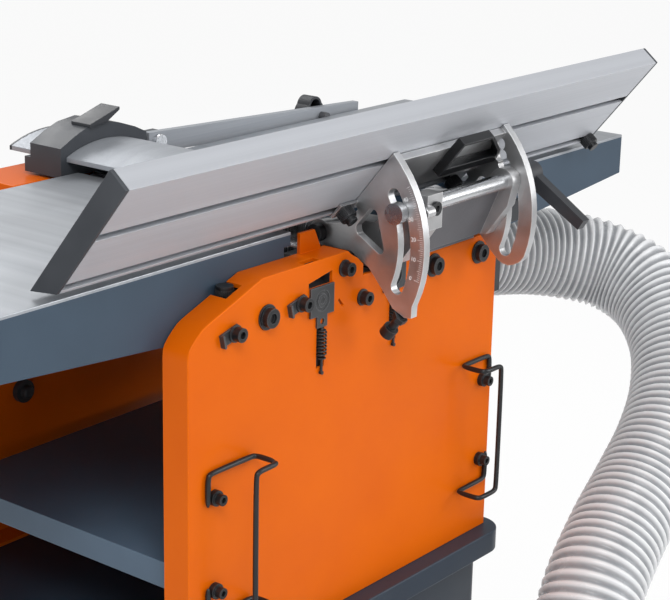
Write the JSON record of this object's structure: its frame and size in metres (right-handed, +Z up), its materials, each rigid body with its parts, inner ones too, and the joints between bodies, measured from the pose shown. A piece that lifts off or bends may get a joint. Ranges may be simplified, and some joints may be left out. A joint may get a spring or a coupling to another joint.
{
  "type": "combination planer thicknesser",
  "caption": "Surface planer and thicknesser with cast tables, tilting fence on quadrants, bridge guard, lifting bed and extraction hose on a cabinet stand.",
  "frame": {"origin": "on the floor below the axis of the cutter block, at the centre of the floor bolts", "axes": "+X is the feed direction, +Y points to the operator's side, +Z is up"},
  "size_m": [1.069, 0.6693, 0.955],
  "materials": {
    "orange_paint": "satin",
    "blue_paint": "satin",
    "black_steel": "satin",
    "cast_grey": "matte",
    "table_iron": "satin",
    "bed_iron": "satin",
    "steel": "satin",
    "chrome": "polished",
    "alloy": "satin",
    "alloy_cast": "matte",
    "black_plastic": "matte",
    "green_plastic": "gloss",
    "red_plastic": "gloss",
    "rubber": "matte",
    "hose_clear": "gloss"
  },
  "bodies": {
    "machine": {"floor_rails": "black_steel", "cabinet": "blue_paint", "tray": "blue_paint", "near_panel": "orange_paint", "far_panel": "orange_paint", "bearing_blocks": "cast_grey", "table_mounts": "cast_grey", "tie_bars": "steel", "drive_cover": "orange_paint", "motor": "cast_grey", "drive_belt": "rubber", "roller_plates": "black_steel", "roller_springs": "black_steel", "spring_hooks": "black_steel", "chip_hood": "black_steel", "hood_port": "black_plastic", "bed_sleeve": "cast_grey", "outfeed_table": "table_iron", "carrier": "alloy_cast", "pivot_screws": "black_steel", "clamp_bar": "chrome", "angle_pointer": "alloy_cast", "guard_bracket": "cast_grey", "panel_bolts": "black_steel", "panel_clips": "black_steel", "stop_screw": "black_steel", "wire_brackets": "black_steel", "side_latch": "black_plastic", "switch_box": "black_plastic", "hose": "hose_clear", "hose_cuff": "rubber"},
    "cutter": {"cutter_block": "steel", "cutter_knives": "chrome", "cutter_pulley": "steel"},
    "motor_rotor": {"motor_pulley": "steel"},
    "infeed_roll": {"infeed_roller": "steel"},
    "outfeed_roll": {"outfeed_roller": "steel"},
    "lift": {"bed": "bed_iron", "bed_column": "steel"},
    "wheel": {"handwheel": "black_plastic"},
    "wheel_grip": {"handwheel_grip": "black_plastic"},
    "infeed": {"infeed_table": "table_iron"},
    "depth": {"depth_lever": "black_plastic", "depth_knob": "black_plastic"},
    "tilt": {"quadrants": "alloy_cast", "slot_screws": "black_steel", "web_bracket": "black_steel"},
    "fence_unit": {"fence": "alloy", "fence_caps": "black_plastic", "fence_stop": "black_steel"},
    "clamp": {"clamp_lever": "black_plastic"},
    "arm": {"guard_arm": "alloy", "guard_bolt": "steel"},
    "knob": {"guard_knob": "black_plastic"},
    "holder": {"guard_holder": "alloy_cast", "guard_clip": "black_plastic"},
    "bridge": {"guard_plate": "alloy", "guard_trim": "black_plastic"},
    "start": {"start_button": "green_plastic"},
    "stop": {"stop_button": "red_plastic"}
  },
  "joints": [
    {"name": "cutter_spin", "type": "hinge", "parent": "machine", "child": "cutter", "pos_m": [0, 0, 0.8185], "axis": [0, 1, 0], "continuous": true},
    {"name": "motor_spin", "type": "hinge", "parent": "machine", "child": "motor_rotor", "pos_m": [0, 0.178, 0.19], "axis": [0, 1, 0], "continuous": true},
    {"name": "infeed_roll_spin", "type": "hinge", "parent": "machine", "child": "infeed_roll", "pos_m": [-0.049, 0, 0.799], "axis": [0, 1, 0], "continuous": true},
    {"name": "outfeed_roll_spin", "type": "hinge", "parent": "machine", "child": "outfeed_roll", "pos_m": [0.049, 0, 0.799], "axis": [0, 1, 0], "continuous": true},
    {"name": "bed_lift", "type": "slide", "parent": "machine", "child": "lift", "axis": [0, 0, 1], "range_m": [-0.005, 0.11]},
    {"name": "handwheel_turn", "type": "hinge", "parent": "machine", "child": "wheel", "pos_m": [0.156, 0.196, 0.4], "axis": [0, 1, 0], "range_deg": [-180, 3960]},
    {"name": "grip_spin", "type": "hinge", "parent": "wheel", "child": "wheel_grip", "pos_m": [0.212, 0.24, 0.4], "axis": [0, 1, 0], "continuous": true},
    {"name": "infeed_depth", "type": "slide", "parent": "machine", "child": "infeed", "axis": [0, 0, 1], "range_m": [-0.003, 0]},
    {"name": "depth_lever_turn", "type": "hinge", "parent": "machine", "child": "depth", "pos_m": [-0.18, 0.17, 0.742], "axis": [0, 1, 0], "range_deg": [-61, 0]},
    {"name": "fence_tilt", "type": "hinge", "parent": "machine", "child": "tilt", "pos_m": [0, -0.1174, 0.834], "axis": [1, 0, 0], "range_deg": [-39.25, 5.75]},
    {"name": "fence_slide", "type": "slide", "parent": "tilt", "child": "fence_unit", "axis": [1, 0, 0], "range_m": [-0.15, 0.2]},
    {"name": "clamp_lever_turn", "type": "hinge", "parent": "machine", "child": "clamp", "pos_m": [0.1788, -0.19983, 0.86482], "axis": [1, 0, 0], "range_deg": [-45, 35]},
    {"name": "guard_raise", "type": "hinge", "parent": "machine", "child": "arm", "pos_m": [0.335, 0.15, 0.849], "axis": [0, 1, 0], "range_deg": [0, 15]},
    {"name": "guard_knob_turn", "type": "hinge", "parent": "machine", "child": "knob", "pos_m": [0.335, 0.16, 0.849], "axis": [0, 1, 0], "continuous": true},
    {"name": "guard_level", "type": "hinge", "parent": "arm", "child": "holder", "pos_m": [0.0864, 0.159, 0.8596], "axis": [0, 1, 0], "range_deg": [-15, 0]},
    {"name": "guard_slide", "type": "slide", "parent": "holder", "child": "bridge", "axis": [0, 1, 0], "range_m": [-0.005, 0.22]},
    {"name": "start_press", "type": "slide", "parent": "machine", "child": "start", "axis": [0, 1, 0], "range_m": [-0.003, 0], "stiffness_N_per_m": 400, "springref_m": 0.001},
    {"name": "stop_press", "type": "slide", "parent": "machine", "child": "stop", "axis": [0, 1, 0], "range_m": [-0.003, 0], "stiffness_N_per_m": 400, "springref_m": 0.001}
  ],
  "couplings": [
    {"joint": "motor_spin", "follows": "cutter_spin", "ratio": 0.53795},
    {"joint": "outfeed_roll_spin", "follows": "infeed_roll_spin", "ratio": 1},
    {"joint": "handwheel_turn", "follows": "bed_lift", "rad_per_m": 628.32},
    {"joint": "depth_lever_turn", "follows": "infeed_depth", "rad_per_m": 350},
    {"joint": "guard_level", "follows": "guard_raise", "ratio": -1}
  ]
}
